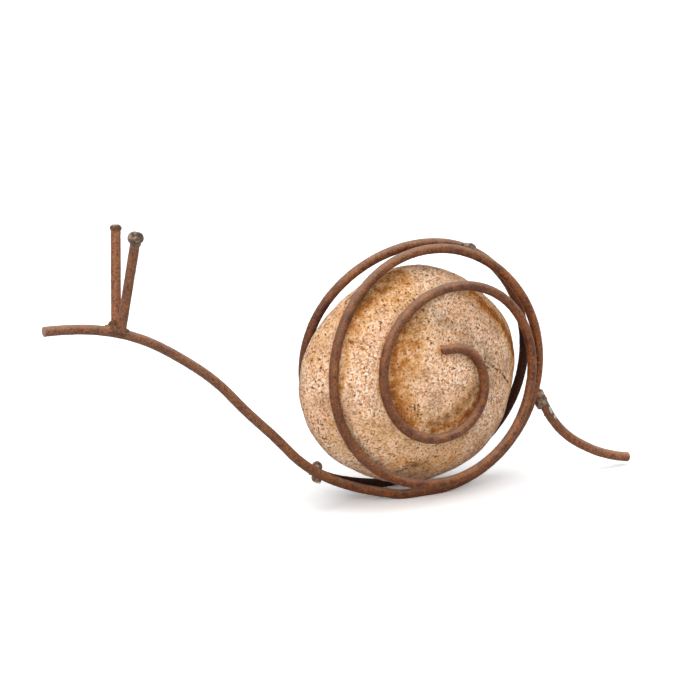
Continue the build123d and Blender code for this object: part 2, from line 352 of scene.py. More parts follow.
@dataclass(frozen=True)
class WeldMetal:
    """Arc-weld steel: melted drops under more or less of the bars' rust."""

    name: str = "arc_weld_steel"
    skin_cloud: Cloud = Cloud(3.0, 3.0, 0.6)
    grit_cloud: Cloud = Cloud(1.1, 2.0, 0.65)
    break_span: Span = Span(0.3, 0.7, 0.3, -0.3)
    pit_span: Span = Span(0.46, 0.30, 0.85)
    # Bare metal with a painted glint where the drop's rust share is below zero
    polish_and_glint_span: Span = Span(0.0, -1.0)
    rusted_metallic: Span = Span(at_start=0.6, at_end=0.0)
    rusted_roughness: Span = Span(at_start=0.36, at_end=0.75)
    gloss: float = 0.25
    relief: Grit = Grit(0.6, 0.3)
    bare: Stops = ((0.30, "#3A3028"), (0.50, "#63584B"), (0.70, "#B5AC9E"))
    rust: Stops = ((0.30, "#4B2C18"), (0.52, "#734A2C"), (0.70, "#9A602F"))
    pit: str = "#2A1C13"
    # Painted glint on bare metal
    polish_and_glint: str = "#E2DBCF"

    def make(self) -> bpy.types.Material:
        """Build the node tree of the weld's skin.

        Returns:
            The finished material.
        """
        # To the eye dark, lumpy metal, dull silver on clean crests and brown where rust has crept in
        material, tree = new_tree(self.name)
        place = put_node(tree, "ShaderNodeTexCoord").outputs["Object"]
        skin, grit = (
            put_node(tree, "ShaderNodeTexNoise", cloud.inputs(place)).outputs["Fac"]
            for cloud in (self.skin_cloud, self.grit_cloud)
        )
        # The drop's own rust share, broken up by its grit
        own_share = put_node(tree, "ShaderNodeAttribute", attribute_name=Mark.RUST.value).outputs["Fac"]
        broken = put_node(tree, "ShaderNodeMapRange", self.break_span.inputs(grit)).outputs["Result"]
        rust_share = put_node(
            tree, "ShaderNodeMath", {0: own_share, 1: broken}, operation="ADD", use_clamp=True
        ).outputs[0]
        pit_share, polish_and_glint_share, shine, matt = (
            put_node(tree, "ShaderNodeMapRange", span.inputs(value)).outputs["Result"]
            for span, value in (
                (self.pit_span, grit),
                (self.polish_and_glint_span, own_share),
                (self.rusted_metallic, rust_share),
                (self.rusted_roughness, rust_share),
            )
        )
        tone, rust = (
            put_node(tree, "ShaderNodeValToRGB", {"Fac": skin}, stops=stops).outputs["Color"]
            for stops in (self.bare, self.rust)
        )
        coats = (
            (rust_share, rust, Blend.OVER),
            (pit_share, linear(self.pit), Blend.OVER),
            # Rubbed bare, with a painted glint, where the rust share is below zero
            (polish_and_glint_share, linear(self.polish_and_glint), Blend.OVER),
        )
        inputs = {"Metallic": shine, "Roughness": matt, "Specular IOR Level": self.gloss}
        close_tree(tree, tone, coats, self.relief.inputs(grit), inputs)
        return material


@dataclass(frozen=True)
class SpeckledCobble:
    """Water-worn granite: cream and tan feldspar grains, dark mica, and rust washed in from the bars."""

    name: str = "water_worn_granite"
    grain_cloud: Cloud = Cloud(1.7, 2.0, 0.8)
    pink_cloud: Cloud = Cloud(30.0, 2.0, 0.5)
    shade_cloud: Cloud = Cloud(14.0, 3.0, 0.6)
    wash_cloud: Cloud = Cloud(4.5, 4.0, 0.75)
    fleck_cloud: Cloud = Cloud(3.4, 3.0, 0.7)
    fine_mica_cloud: Cloud = Cloud(1.2, 1.0, 0.5)
    mica_cloud: Cloud = Cloud(1.9, 1.0, 0.5)
    patch_cloud: Cloud = Cloud(14.0, 2.0, 0.6)
    pink_span: Span = Span(0.42, 0.66, 0.45)
    break_span: Span = Span(0.30, 0.70, 1.4, 0.3)
    cover_span: Span = Span(0.0, 0.6, 0.92)
    fleck_span: Span = Span(0.62, 0.72, 0.7)
    fine_mica_span: Span = Span(0.54, 0.69, 0.75)
    mica_span: Span = Span(0.785, 0.875, 0.85)
    patch_pull: float = 0.3
    roughness: float = 0.86
    gloss: float = 0.1
    relief: Grit = Grit(0.8, 0.5)
    grain: Stops = ((0.28, "#B07548"), (0.43, "#E6B287"), (0.55, "#FFDEBE"), (0.72, "#FFF7EC"))
    shade: Stops = ((0.32, "#C9C0B8"), (0.48, "#F0ECE8"), (0.62, "#FFFFFF"))
    wash: Stops = ((0.0, "#E3B56C"), (0.35, "#C98B3A"), (0.7, "#A05A1A"), (1.0, "#6C3810"))
    pink: str = "#DAA584"
    fleck: str = "#A9602B"
    fine_mica: str = "#7C4A28"
    mica: str = "#4E3423"
    # Dirt, and painted shadow beside the bars
    dirt_and_shade: str = "#4A321E"

    def make(self) -> bpy.types.Material:
        """Build the node tree of the stone.

        Returns:
            The finished material.
        """
        # To the eye a dry, chalky stone, peppered all over and stained yellow to brown beside the bars.
        # The smallest grains are drawn as coarse as they need to show.
        material, tree = new_tree(self.name)
        place = put_node(tree, "ShaderNodeTexCoord").outputs["Object"]
        clouds = (
            self.grain_cloud,
            self.pink_cloud,
            self.shade_cloud,
            self.wash_cloud,
            self.fleck_cloud,
            self.fine_mica_cloud,
            self.mica_cloud,
            self.patch_cloud,
        )
        grain, pinkness, shade, breaks, fleck, fine, coarse, patch = (
            put_node(tree, "ShaderNodeTexNoise", cloud.inputs(place)).outputs["Fac"] for cloud in clouds
        )
        wash, dirt_and_shade = (
            put_node(tree, "ShaderNodeAttribute", attribute_name=stain.value).outputs["Fac"]
            for stain in (Stain.RUST, Stain.DIRT_AND_SHADE)
        )
        # Stains are broken up, and the larger grains of mica gather in patches
        broken = put_node(tree, "ShaderNodeMapRange", self.break_span.inputs(breaks)).outputs["Result"]
        wash_share, dirt_and_shade_share = (
            put_node(
                tree, "ShaderNodeMath", {0: stain, 1: broken}, operation="MULTIPLY", use_clamp=True
            ).outputs[0]
            for stain in (wash, dirt_and_shade)
        )
        gathered = put_node(
            tree, "ShaderNodeMath", {0: patch, 1: self.patch_pull, 2: coarse}, operation="MULTIPLY_ADD"
        ).outputs[0]
        pink_share, cover, fleck_share, fine_share, mica_share = (
            put_node(tree, "ShaderNodeMapRange", span.inputs(value)).outputs["Result"]
            for span, value in (
                (self.pink_span, pinkness),
                (self.cover_span, wash_share),
                (self.fleck_span, fleck),
                (self.fine_mica_span, fine),
                (self.mica_span, gathered),
            )
        )
        tone, shade_tone, wash_tone = (
            put_node(tree, "ShaderNodeValToRGB", {"Fac": value}, stops=stops).outputs["Color"]
            for value, stops in ((grain, self.grain), (shade, self.shade), (wash_share, self.wash))
        )
        coats = (
            (pink_share, linear(self.pink), Blend.OVER),
            # Broad paler and darker patches
            (1.0, shade_tone, Blend.TINT),
            # Rust washed from the bars, yellow where it is thin and brown where it is thick
            (cover, wash_tone, Blend.OVER),
            # Single rusty grains
            (fleck_share, linear(self.fleck), Blend.OVER),
            (fine_share, linear(self.fine_mica), Blend.OVER),
            (mica_share, linear(self.mica), Blend.OVER),
            # Dirt, and painted shadow beside the bars
            (dirt_and_shade_share, linear(self.dirt_and_shade), Blend.OVER),
        )
        inputs = {"Roughness": self.roughness, "Specular IOR Level": self.gloss}
        close_tree(tree, tone, coats, self.relief.inputs(grain), inputs)
        return material


def add_object(name: str, content: bpy.types.ID) -> bpy.types.Object:
    """Add an object to the scene.

    Args:
        name: name of the new object.
        content: its mesh, lamp or camera.

    Returns:
        The new object.
    """
    thing = bpy.data.objects.new(name, content)
    bpy.context.scene.collection.objects.link(thing)
    return thing


def finish_piece(
    work: bmesh.types.BMesh, name: str, material: bpy.types.Material, node: str
) -> bpy.types.Object:
    """Turn a bmesh to a piece that rides on the part and stands for a CAD node.

    Args:
        work: finished bmesh in millimetres; it is freed.
        name: name of the new piece.
        material: finish of the piece.
        node: CAD node that the piece stands for.

    Returns:
        The new object.
    """
    bmesh.ops.scale(work, vec=Vector((MM, MM, MM)), verts=work.verts)
    mesh = bpy.data.meshes.new(name)
    work.to_mesh(mesh)
    work.free()
    mesh.polygons.foreach_set("use_smooth", [True] * len(mesh.polygons))
    mesh.materials.append(material)
    piece = add_object(name, mesh)
    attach(piece, "root")
    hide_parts(node)
    LOG.info("piece %s: %d faces", name, len(mesh.polygons))
    return piece


def held(share: float) -> float:
    """Hold a share between 0 and 1."""
    return min(1.0, max(0.0, share))


def skin_height(spot: Vector, skin: Skin) -> float:
    """Height at a spot of a rough skin, whose rows are the size and the height of an unevenness."""
    return sum(noise.noise(spot / size) * height for size, height in skin)


def raise_skin(work: bmesh.types.BMesh, heights: list[float]) -> None:
    """Move each point of a mesh out along its own normal, by its own height."""
    for vert, height in zip(work.verts, heights):
        vert.co += vert.normal * height


def spot_tree(spots: list[Vector]) -> kdtree.KDTree:
    """Make a tree to find the nearest of some spots.

    Args:
        spots: places to measure from.

    Returns:
        The balanced tree.
    """
    tree = kdtree.KDTree(len(spots))
    for number, spot in enumerate(spots):
        tree.insert(spot, number)
    tree.balance()
    return tree


@dataclass
class CobbleShape:
    """Sizes of the cobble, and its plain ellipsoid, in millimetres."""

    width: float = 136.0
    height: float = 125.4
    thickness: float = 62.0
    centre: Place = (40.75, 0.0, 70.15)
    seat_clearance: float = 0.5

    def seat_depth(self, x: float, z: float) -> float:
        """Depth of the axis of a bar that lies on the cobble, or 0 beside the cobble.

        Args:
            x: place along the snail.
            z: height.

        Returns:
            The depth from the snail's middle plane.
        """
        across = (x - self.centre[0]) / (self.width / 2)
        up = (z - self.centre[2]) / (self.height / 2)
        inside = 1 - across**2 - up**2
        if inside <= 0:
            return 0.0
        deep = sqrt(inside)
        slope = Vector((2 * across / self.width, 2 * deep / self.thickness, 2 * up / self.height))
        return self.thickness / 2 * deep + (BAR_RADIUS + self.seat_clearance) / slope.normalized().y


@dataclass(frozen=True)
class Bend:
    """One arc of a bent bar, or a straight run where the angle is 0."""

    start: Vector
    heading: Vector
    centre: Vector
    axis: Vector
    angle: float
    length: float


@dataclass
class Route:
    """Course of one bent bar: points, and the heading at each, in millimetres."""

    points: list[Vector]
    headings: list[Vector]
    straight_limit: float = 1e-5

    def arc(self, start: Vector, heading: Vector, end: Vector) -> Bend:
        """The one arc that leaves start along heading and reaches end.

        Args:
            start: first point.
            heading: direction there.
            end: last point.

        Returns:
            The arc, or a straight run.
        """
        chord = end - start
        across = heading.cross(chord)
        if across.length < chord.length * self.straight_limit:
            return Bend(start, heading, start, heading, 0.0, chord.length)
        half = atan2(across.length, heading.dot(chord))
        radius = chord.length / (2 * sin(half))
        axis = across.normalized()
        return Bend(start, heading, start + axis.cross(heading) * radius, axis, 2 * half, 2 * half * radius)

    def bends(self) -> list[Bend]:
        """Two tangent arcs between each pair of points.

        Returns:
            All arcs in order.
        """
        arcs = []
        legs = zip(self.points, self.headings, self.points[1:], self.headings[1:])
        for start, leave, end, arrive in legs:
            chord = end - start
            along = chord.dot(leave + arrive)
            turn = 2 * (1 - leave.dot(arrive))
            reach = chord.dot(chord) / (along + sqrt(along**2 + turn * chord.dot(chord)))
            first_corner = start + leave * reach
            second_corner = end - arrive * reach
            middle = (first_corner + second_corner) / 2
            arcs.append(self.arc(start, leave, middle))
            arcs.append(self.arc(middle, (second_corner - first_corner).normalized(), end))
        return arcs

    def spots(self, spacing: float) -> list[tuple[Vector, Vector, float]]:
        """Points, headings and lengths along the route, at most a spacing apart.

        Args:
            spacing: largest distance between points.

        Returns:
            Rows of point, heading and length from the start.
        """
        rows = []
        gone = 0.0
        for bend in self.bends():
            count = max(1, round(bend.length / spacing))
            for step in range(count):
                share = step / count
                turn = Matrix.Rotation(bend.angle * share, 3, bend.axis)
                if bend.angle:
                    spot = bend.centre + turn @ (bend.start - bend.centre)
                else:
                    spot = bend.start + bend.heading * (bend.length * share)
                rows.append((spot, turn @ bend.heading, gone + bend.length * share))
            gone += bend.length
        return rows

    def leg(self, number: int, count: int = 1) -> "Route":
        """Part of the route: that many legs from the leg of that number."""
        last = number + count + 1
        return Route(self.points[number:last], self.headings[number:last])


def circle_headings(points: list[Vector], first: Vector, last: Vector) -> list[Vector]:
    """Headings along points, each that of the circle through a point and its two neighbours.

    Args:
        points: points of the course.
        first: heading at the first point.
        last: heading at the last point.

    Returns:
        One heading for each point.
    """
    headings = [first.normalized()]
    for before, here, after in zip(points, points[1:], points[2:]):
        run_in = here - before
        run_out = after - here
        turn = run_in.normalized() * run_out.length + run_out.normalized() * run_in.length
        headings.append(turn.normalized())
    return headings + [last.normalized()]


def mirrored_heading(start: Vector, heading: Vector, end: Vector) -> Vector:
    """Heading at the end of the one arc that leaves start along heading and reaches end."""
    chord = (end - start).normalized()
    return (chord * (2 * chord.dot(heading)) - heading).normalized()


@dataclass
class BentBar:
    """One length of rusted bar along a route, with a lumpy skin and worn, square-cut ends."""

    name: str
    node: str
    route: Route
    sides: int = 24
    spacing: float = 0.9
    # Rolling lumps, then rust scale
    skin: Skin = ((5.5, 0.07), (1.9, 0.09))
    join_distance: float = 0.01
    end_bevel: float = 0.45
    end_facets: int = 4
    worn_end: float = 0.0
    worn_curve: float = 0.86
    bare_start: bool = False
    fresh_rust: float = 0.0
    splash_rust: float = 0.0
    splash_below: float = 45.0
    splash_past_x: float = 75.0
    scorched_length: float = 0.0
    scorch_turn: float = 0.8
    # Painted shade where the cobble shades the bar: below a height, past a place along the snail, or low
    # down
    cobble_shade_below: float | None = None
    cobble_shade_fade: float = 25.0
    cobble_shade_from_x: float = -22.0
    cobble_shade_low_below: float = 38.0
    stands: bool = False

    def build(self, material: bpy.types.Material) -> bpy.types.Object:
        """Spin a ring along the route, roughen it and cap its ends.

        Args:
            material: finish of the bar.

        Returns:
            The finished piece.
        """
        work = bmesh.new()
        turn = self.route.headings[0].to_track_quat("Z", "X").to_matrix()
        for bend in self.route.bends():
            self.add_bend(work, bend, turn)
            turn = Matrix.Rotation(bend.angle, 3, bend.axis) @ turn
        bmesh.ops.remove_doubles(work, verts=work.verts, dist=self.join_distance)
        bmesh.ops.recalc_face_normals(work, faces=work.faces)
        self.roughen(work)
        if self.worn_end:
            self.wear_end(work)
        for end in (self.route.points[0], self.route.points[-1]):
            self.cap(work, end)
        if self.bare_start:
            self.mark_start(work)
        self.mark_rust(work)
        bmesh.ops.recalc_face_normals(work, faces=work.faces)
        return finish_piece(work, self.name, material, self.node)

    def add_bend(self, work: bmesh.types.BMesh, bend: Bend, turn: Matrix) -> None:
        """Spin one bend on its own, which is quicker, and add it to the bar.

        Args:
            work: the bar.
            bend: bend to add.
            turn: how the ring is turned at the start of the bend.
        """
        piece = bmesh.new()
        place = Matrix.Translation(bend.start) @ turn.to_4x4()
        ring = bmesh.ops.create_circle(piece, segments=self.sides, radius=BAR_RADIUS, matrix=place)["verts"]
        steps = max(1, round(bend.length / self.spacing))
        drift = Vector() if bend.angle else bend.heading * (bend.length / steps)
        bmesh.ops.spin(
            piece,
            geom=ring + piece.edges[:],
            cent=bend.centre,
            axis=bend.axis,
            dvec=drift,
            angle=bend.angle,
            steps=steps,
        )
        mesh = bpy.data.meshes.new("bend")
        piece.to_mesh(mesh)
        piece.free()
        work.from_mesh(mesh)
        bpy.data.meshes.remove(mesh)

    def roughen(self, work: bmesh.types.BMesh) -> None:
        """Raise rust scale and rolling lumps on the bar, and wear it flat where it stands.

        Args:
            work: the bar.
        """
        work.normal_update()
        raise_skin(work, [skin_height(vert.co, self.skin) for vert in work.verts])
        if self.stands:
            for vert in work.verts:
                vert.co.z = max(vert.co.z, FLOOR_LEVEL)

    def wear_end(self, work: bmesh.types.BMesh) -> None:
        """Draw the bar's far end in to a blunt, worn round.

        Args:
            work: the bar.
        """
        end = self.route.points[-1]
        heading = self.route.headings[-1]
        for vert in work.verts:
            back = (end - vert.co).dot(heading)
            middle = end - heading * back
            aside = vert.co - middle
            if abs(back) < self.worn_end and aside.length < 2 * BAR_RADIUS:
                share = self.worn_curve * (1 - max(0.0, back) / self.worn_end)
                vert.co = middle + aside * sqrt(1 - share**2)

    def cap(self, work: bmesh.types.BMesh, end: Vector) -> None:
        """Close one end of the bar and wear its edge round.

        Args:
            work: the bar.
            end: middle of that end.
        """
        rim = [edge for edge in work.edges if edge.is_boundary]
        edges = [edge for edge in rim if (edge.verts[0].co - end).length < 2 * BAR_RADIUS]
        bmesh.ops.edgeloop_fill(work, edges=edges)
        bmesh.ops.bevel(
            work,
            geom=edges,
            offset=self.end_bevel,
            offset_type="OFFSET",
            affect="EDGES",
            segments=self.end_facets,
            profile=0.5,
            material=-1,
        )

    def mark_rust(self, work: bmesh.types.BMesh) -> None:
        """Write where the bar has fresh, orange rust, where it gets painted shade from the cobble, where it
        is scorched and which way it faces.

        Args:
            work: the bar.
        """
        marks = (Mark.FRESH, Mark.PAINTED_COBBLE_SHADE, Mark.UPWARD, Mark.SCORCHED)
        fresh, painted_cobble_shade, upward, scorched = (work.verts.layers.float.new(mark.value) for mark in marks)
        work.normal_update()
        for vert in work.verts:
            vert[upward] = vert.normal.z
            if self.scorched_length:
                ahead = (vert.co - self.route.points[0]).dot(self.route.headings[0]) / self.scorched_length
                vert[scorched] = max(0.0, 1 - ahead) * held(self.scorch_turn + vert.normal.x)
            low = max(self.splash_below - vert.co.z, vert.co.x - self.splash_past_x) / self.splash_below
            vert[fresh] = self.fresh_rust + self.splash_rust * held(low)
            # Painted shade, darker low down where the cobble shades the bar
            if self.cobble_shade_below is not None:
                inward = max(vert.co.x - self.cobble_shade_from_x, self.cobble_shade_low_below - vert.co.z)
                vert[painted_cobble_shade] = held(min(self.cobble_shade_below - vert.co.z, inward) / self.cobble_shade_fade)

    def mark_start(self, work: bmesh.types.BMesh) -> None:
        """Mark the square-cut face at the bar's start as bare metal.

        Args:
            work: the bar.
        """
        layer = work.verts.layers.float.new(Mark.CUT.value)
        for vert in work.verts:
            out = vert.co - self.route.points[0]
            if out.length < BAR_RADIUS and out.dot(self.route.headings[0]) < self.end_bevel / 2:
                vert[layer] = 1.0


@dataclass
class Coil:
    """One coil of the shell.

    Its shares, of the coil's radius and of the cobble's half thickness, are given at quarter turns.
    """

    side: Side
    radius_shares: Shares
    depth_shares: Shares
    stone: CobbleShape
    radius: float = 71.0
    centre: tuple[float, float] = (52.0, 73.25)
    crown_splay: float = 0.468
    end_turn_share: float = 0.27

    def point(self, turn: float, share: float, depth: float) -> Vector:
        """Point of the coil at an angle from the foot, going up the tail side first."""
        reach = self.radius * share
        return Vector((self.centre[0] + reach * sin(turn), depth, self.centre[1] - reach * cos(turn)))

    def depth(self, spot: Vector, depth_share: float) -> float:
        """Depth of the bar at a spot: its own, or what the cobble or the other coil needs.

        Args:
            spot: place on the middle plane.
            depth_share: the coil's own depth there, as a share.

        Returns:
            The depth, to the coil's side.
        """
        own = depth_share * self.stone.thickness / 2
        return self.side.value * max(
            own, self.stone.seat_depth(spot.x, spot.z), PAIR_DEPTH + self.crown_splay
        )

    def knots(self) -> Route:
        """Points and headings of the coil.

        Returns:
            The coil's course, from the foot inwards.
        """
        last = len(self.radius_shares) - 1
        turns = [QUARTER * step for step in range(last)]
        turns.append(turns[-1] + QUARTER * self.end_turn_share)
        depths = [
            self.depth(self.point(turn, share, 0.0), depth_share)
            for turn, share, depth_share in zip(turns, self.radius_shares, self.depth_shares)
        ]
        points = [self.point(*knot) for knot in zip(turns, self.radius_shares, depths)]
        headings = [AHEAD]
        for step in range(1, last):
            swept = turns[step + 1] - turns[step - 1]
            share = self.radius_shares[step]
            growth = (self.radius_shares[step + 1] - self.radius_shares[step - 1]) / swept
            drift = (depths[step + 1] - depths[step - 1]) / swept
            across = self.radius * (growth * sin(turns[step]) + share * cos(turns[step]))
            up = self.radius * (share * sin(turns[step]) - growth * cos(turns[step]))
            headings.append(Vector((across, drift, up)).normalized())
        return Route(points, headings + [mirrored_heading(points[-2], headings[-1], points[-1])])


@dataclass
class BentFrame:
    """All the bent bars of the snail: body, back coil, tail and feelers."""

    stone: CobbleShape
    foot_x: float = 40.0
    foot_z: float = 2.25
    run: float = 224.0
    rise: float = 120.9
    neck_run_shares: Shares = (1.0, 0.80, 0.585, 0.42)
    neck_rise_shares: Shares = (1.0, 0.948, 0.725, 0.426)
    neck_pair_shares: Shares = (0.0, 0.0, 0.0, 0.3)
    foot_run_shares: Shares = (0.265, 0.12, 0.0)
    foot_rise_shares: Shares = (0.158, 0.042, 0.0)
    foot_spread_shares: Shares = (0.0, 0.62, 1.0)
    # One bracket to each full turn of a coil
    front_radius_shares: Shares = (
        (1.0, 0.975, 0.995, 0.988) + (0.874, 0.873, 0.725, 0.618) + (0.45, 0.282, 0.268, 0.29)
    )
    front_depth_shares: Shares = (0.22, 0.29, 0.0, 0.0, 0.71, 0.44, 0.69, 0.0, 0.0, 0.0, 0.0, 0.0)
    back_radius_shares: Shares = (
        (1.0, 0.963, 1.024, 0.97) + (0.80, 0.78, 0.70, 0.60) + (0.44, 0.282, 0.268, 0.29)
    )
    back_depth_shares: Shares = (0.62, 0.20, 0.0, 0.0, 0.70, 0.58, 0.74, 0.0, 0.0, 0.0, 0.0, 0.0)
    tail_end_x: float = 184.0
    tail_lift: float = 1.9
    tail_leg_share: float = 0.8
    tail_run_shares: Shares = (0.0, 0.214, 0.591, 1.0)
    tail_drop_shares: Shares = (0.0, 0.462, 0.822, 1.0)
    tail_start_shares: Place = (0.40, 0.0, -0.917)
    feeler_setback: float = 44.5
    feeler_rise: float = 55.2
    feeler_lean: float = 5.5
    feeler_spread: float = 13.3
    head_legs: int = 2
    worn_end_share: float = 1.1
    body_splash_rust: float = 0.4
    # Painted shade on the low body bar and on the back bar, where the cobble shades them
    body_cobble_shade_below: float = 30.0
    body_cobble_shade_fade: float = 75.0
    back_cobble_shade_below: float = 115.0
    tail_fresh_rust: float = 0.5
    tail_scorched_length: float = 34.0
    right_feeler_fresh_rust: float = 0.65
    body: Route = field(init=False)
    back: Route = field(init=False)
    tail: Route = field(init=False)
    front_coil: Route = field(init=False)
    back_coil: Route = field(init=False)
    neck_slope: Vector = field(init=False)
    head_spot: Vector = field(init=False)
    head_slope: Vector = field(init=False)

    def __post_init__(self) -> None:
        """Work out the routes of the body, the back coil and the tail."""
        self.front_coil, self.back_coil = (
            Coil(side, radius_shares, depth_shares, self.stone).knots()
            for side, radius_shares, depth_shares in (
                (Side.FRONT, self.front_radius_shares, self.front_depth_shares),
                (Side.BACK, self.back_radius_shares, self.back_depth_shares),
            )
        )
        neck_depths = [-PAIR_DEPTH * share for share in self.neck_pair_shares]
        neck = self.run_points(self.neck_run_shares, self.neck_rise_shares, neck_depths)
        start = neck + self.foot_points(Side.FRONT)
        headings = circle_headings(start, AHEAD, AHEAD)
        self.body = Route(start + self.front_coil.points, headings + self.front_coil.headings)
        self.neck_slope = headings[len(neck)]
        back_foot = self.foot_points(Side.BACK)
        back_start = Vector((self.neck_slope.x, -self.neck_slope.y, self.neck_slope.z))
        headings = circle_headings(back_foot, back_start, AHEAD)
        self.back = Route(back_foot + self.back_coil.points, headings + self.back_coil.headings)
        self.tail = self.tail_route()
        rows = self.body.leg(0, self.head_legs).spots(FINE_STEP)
        self.head_spot, self.head_slope, _ = min(rows, key=lambda row: abs(row[2] - self.feeler_setback))

    def run_points(self, run_shares: Shares, rise_shares: Shares, depths: list[float]) -> list[Vector]:
        """Points between the head and the foot.

        Args:
            run_shares: shares of the run from the foot to the head.
            rise_shares: shares of the rise.
            depths: depths from the middle plane.

        Returns:
            One point for each share.
        """
        rows = zip(run_shares, depths, rise_shares)
        return [
            Vector((self.foot_x - self.run * out, depth, self.foot_z + self.rise * up))
            for out, depth, up in rows
        ]

    def foot_points(self, side: Side) -> list[Vector]:
        """Points from the neck weld, where two bars lie side by side, to the foot.

        Args:
            side: side of the bar.

        Returns:
            Points of that bar.
        """
        depth_shares = self.front_depth_shares if side is Side.FRONT else self.back_depth_shares
        spread = self.stone.thickness / 2 * depth_shares[0] - PAIR_DEPTH
        depths = [side.value * (PAIR_DEPTH + spread * share) for share in self.foot_spread_shares]
        return self.run_points(self.foot_run_shares, self.foot_rise_shares, depths)

    def tail_seat(self) -> tuple[Vector, Vector]:
        """Find where the tail leans on the front coil.

        Returns:
            The spot on the coil's axis, and the outward direction there.
        """
        spots = self.front_coil.leg(0).spots(FINE_STEP)
        length = spots[-1][2] + FINE_STEP
        spot, heading, _ = min(spots, key=lambda row: abs(row[2] - length * self.tail_leg_share))
        return spot, ACROSS.cross(heading).normalized()

    def tail_route(self) -> Route:
        """Course of the tail, from the front coil to its tip above the floor.

        Returns:
            The tail's course.
        """
        spot, outward = self.tail_seat()
        slope = Vector(self.tail_start_shares).normalized()
        lean = BAR_RADIUS * sqrt(1 - slope.dot(outward) ** 2)
        start = spot + outward * (BAR_RADIUS + ROOT_GAP + lean)
        run = self.tail_end_x - start.x
        drop = start.z - BAR_RADIUS - self.tail_lift
        points = [
            start + Vector((run * out, 0, -drop * down))
            for out, down in zip(self.tail_run_shares, self.tail_drop_shares)
        ]
        headings = circle_headings(points, slope, AHEAD)
        headings[-1] = mirrored_heading(points[-2], headings[-2], points[-1])
        return Route(points, headings)

    def feeler_line(self, side: Side) -> tuple[Vector, Vector]:
        """Find where a feeler stands.

        Args:
            side: side of the feeler.

        Returns:
            Its foot, on the head's axis, and its end.
        """
        foot = self.head_spot + ACROSS * (side.value * PAIR_DEPTH)
        reach = Vector((self.feeler_lean, side.value * self.feeler_spread, self.feeler_rise))
        return foot, self.head_spot + reach

    def feeler_route(self, side: Side) -> Route:
        """Course of a feeler, clear of the head's axis.

        Args:
            side: side of the feeler.

        Returns:
            A straight course.
        """
        foot, end = self.feeler_line(side)
        heading = (end - foot).normalized()
        return Route([foot + heading * (BAR_RADIUS / 2), end], [heading, heading])

    def build(self, material: bpy.types.Material) -> None:
        """Make all bars.

        Args:
            material: finish of the bars.
        """
        worn = BAR_RADIUS * self.worn_end_share
        bars = (
            BentBar(
                "body_bar",
                "body_rod",
                self.body,
                worn_end=worn,
                bare_start=True,
                splash_rust=self.body_splash_rust,
                cobble_shade_below=self.body_cobble_shade_below,
                cobble_shade_fade=self.body_cobble_shade_fade,
                stands=True,
            ),
            BentBar(
                "back_bar",
                "back_rod",
                self.back,
                worn_end=worn,
                cobble_shade_below=self.back_cobble_shade_below,
                stands=True,
            ),
            BentBar(
                "tail_bar",
                "tail_rod",
                self.tail,
                fresh_rust=self.tail_fresh_rust,
                scorched_length=self.tail_scorched_length,
            ),
            BentBar("left_feeler_bar", "left_feeler", self.feeler_route(Side.FRONT)),
            BentBar(
                "right_feeler_bar",
                "right_feeler",
                self.feeler_route(Side.BACK),
                fresh_rust=self.right_feeler_fresh_rust,
            ),
        )
        for bar in bars:
            bar.build(material)


@dataclass(frozen=True)
class Lump:
    """One drop of weld metal: place and half sizes along, across and out from the weld, in millimetres.

    A drop may have a rust share of its own, and one below zero is rubbed bare and painted with a glint.
    """

    place: Place
    half: Place
    rust: float | None = None

    def depth(self, spot: Vector) -> float:
        """Distance of a spot from the drop's middle, as a share of its half sizes."""
        return Vector((gap / size for gap, size in zip(spot - Vector(self.place), self.half))).length


@dataclass
class WeldBead:
    """A weld made of drops that run into each other, with ripples and a rough skin."""

    name: str
    node: str
    origin: Vector
    along: Vector
    outward: Vector
    lumps: tuple[Lump, ...]
    rust_share: float = 0.5
    ripple_mm: float = 1.6
    ripple_height: float = 0.22
    grit_mm: float = 0.9
    grit_height: float = 0.1
    voxel: float = 0.3
    drop_subdivisions: int = 4
    melt_passes: int = 3

    def build(self, material: bpy.types.Material) -> bpy.types.Object:
        """Melt the drops together and roughen them.

        Args:
            material: finish of the weld.

        Returns:
            The finished piece.
        """
        along = self.along.normalized()
        across = self.outward.cross(along).normalized()
        turn = Matrix((along, across, along.cross(across))).transposed().to_4x4()
        place = Matrix.Translation(self.origin) @ turn
        work = bmesh.new()
        for lump in self.lumps:
            seat = place @ Matrix.Translation(lump.place) @ Matrix.Diagonal((*lump.half, 1))
            bmesh.ops.create_icosphere(work, subdivisions=self.drop_subdivisions, radius=1, matrix=seat)
        melted = self.melt(work)
        melted.normal_update()
        skin = ((self.ripple_mm, self.ripple_height), (self.grit_mm, self.grit_height))
        heights = [skin_height(vert.co, skin) for vert in melted.verts]
        layer = melted.verts.layers.float.new(Mark.RUST.value)
        back = place.inverted()
        for vert in melted.verts:
            spot = back @ vert.co
            own = min(self.lumps, key=lambda lump: lump.depth(spot)).rust
            vert[layer] = self.rust_share if own is None else own
        raise_skin(melted, heights)
        return finish_piece(melted, self.name, material, self.node)

    def melt(self, work: bmesh.types.BMesh) -> bmesh.types.BMesh:
        """Join overlapping drops into one closed skin.

        Args:
            work: the drops; it is freed.

        Returns:
            A new bmesh with the joined skin.
        """
        mesh = bpy.data.meshes.new("drops")
        work.to_mesh(mesh)
        work.free()
        drops = add_object("drops", mesh)
        remesh = drops.modifiers.new("melt", "REMESH")
        remesh.mode = "VOXEL"
        remesh.voxel_size = self.voxel
        smooth = drops.modifiers.new("run", "SMOOTH")
        smooth.iterations = self.melt_passes
        view = bpy.context.evaluated_depsgraph_get()
        joined = bpy.data.meshes.new_from_object(drops.evaluated_get(view))
        bpy.data.objects.remove(drops)
        bpy.data.meshes.remove(mesh)
        melted = bmesh.new()
        melted.from_mesh(joined)
        bpy.data.meshes.remove(joined)
        return melted


